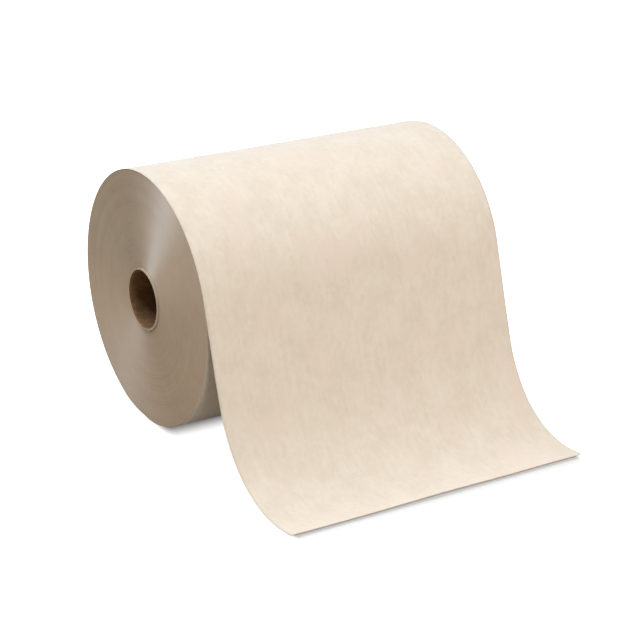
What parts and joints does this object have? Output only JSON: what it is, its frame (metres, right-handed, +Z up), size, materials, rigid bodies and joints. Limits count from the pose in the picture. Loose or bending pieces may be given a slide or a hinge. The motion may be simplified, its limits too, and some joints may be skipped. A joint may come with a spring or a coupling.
{
  "type": "paper towel roll",
  "caption": "Hard-wound brown paper towel roll lying on its side, with its loose end trailing down to the surface.",
  "frame": {"origin": "middle of the flat spot that the roll rests on, straight below the middle of its axis", "axes": "+X along the roll's axis, -Y the way the loose end trails, +Z up"},
  "size_m": [0.2651, 0.3026, 0.1945],
  "materials": {
    "core_paperboard": "matt spiral-wound paperboard",
    "towel_paper": "matt unbleached crepe paper"
  },
  "bodies": {
    "root": {"core_tube": "core_paperboard", "towel_web": "towel_paper"}
  },
  "joints": []
}
